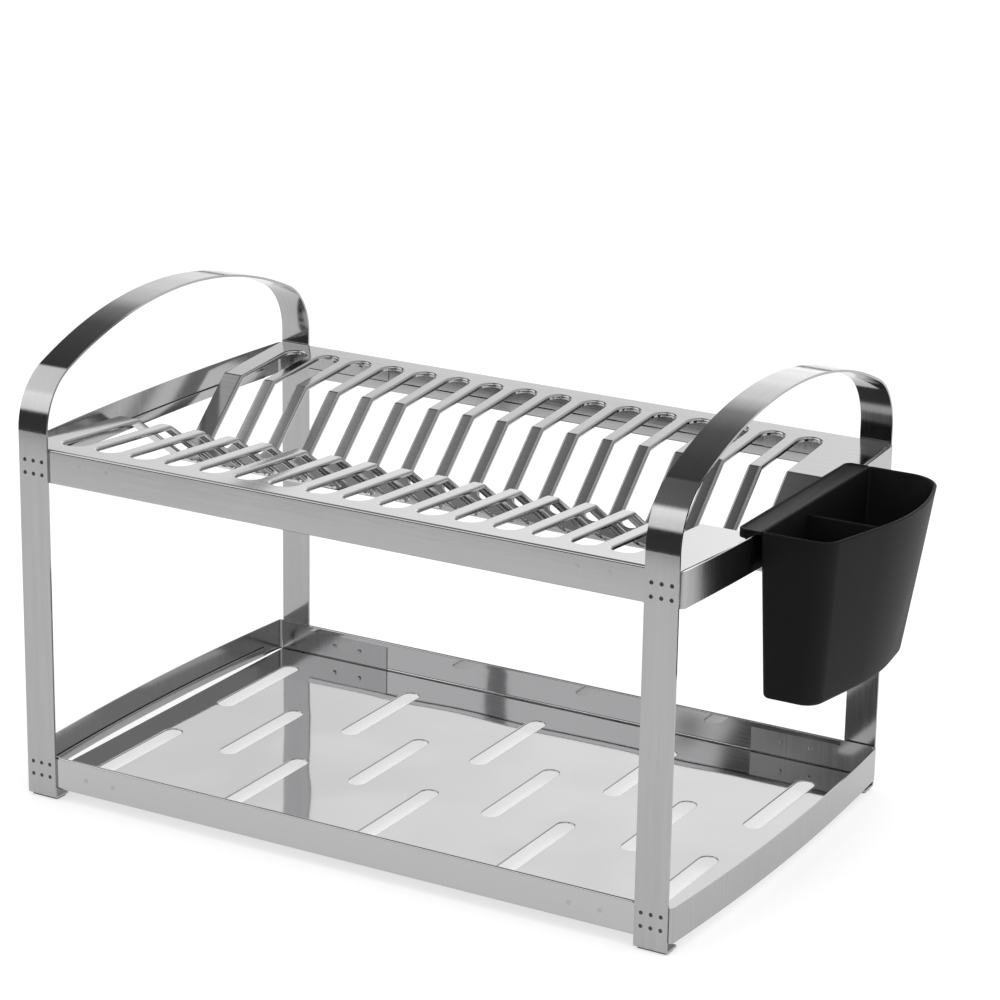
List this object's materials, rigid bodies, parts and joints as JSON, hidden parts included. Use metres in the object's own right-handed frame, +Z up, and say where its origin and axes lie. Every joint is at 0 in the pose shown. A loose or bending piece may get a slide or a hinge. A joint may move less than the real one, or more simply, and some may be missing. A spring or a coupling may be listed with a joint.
{
  "type": "dish drying rack",
  "caption": "Two-tier stainless dish rack: slotted plate deck with a V valley over a drip tray, between two arched end frames, with a lift-off cutlery bin.",
  "frame": {"origin": "on the ground, at the middle of the rectangle of the four feet", "axes": "+X along the rack towards the end that carries the cutlery bin, +Y from front to back, +Z up"},
  "size_m": [0.5269, 0.2932, 0.3034],
  "materials": {
    "frame_steel": "bright strap, satin down the legs and polished over the arch",
    "strip_steel": "polished",
    "sheet_steel": "mirror polished with satin flanges",
    "weld_mark": "heat-darkened spot welds",
    "foot_pad": "matte black",
    "bin_plastic": "fine-textured matte black"
  },
  "bodies": {
    "rack": {"left_end_frame": "frame_steel", "right_end_frame": "frame_steel", "upper_left_strip": "strip_steel", "upper_right_strip": "strip_steel", "lower_left_strip": "strip_steel", "lower_right_strip": "strip_steel", "plate_deck": "sheet_steel", "drip_tray": "sheet_steel", "front_left_foot_pad": "foot_pad", "front_right_foot_pad": "foot_pad", "back_left_foot_pad": "foot_pad", "back_right_foot_pad": "foot_pad", "upper_front_left_welds": "weld_mark", "upper_front_right_welds": "weld_mark", "upper_back_left_welds": "weld_mark", "upper_back_right_welds": "weld_mark", "lower_front_left_welds": "weld_mark", "lower_front_right_welds": "weld_mark", "lower_back_left_welds": "weld_mark", "lower_back_right_welds": "weld_mark"},
    "bin": {"cutlery_bin": "bin_plastic"}
  },
  "joints": [
    {"name": "bin_lift", "type": "slide", "parent": "rack", "child": "bin", "axis": [0, 0, 1], "range_m": [0, 0.03]}
  ]
}
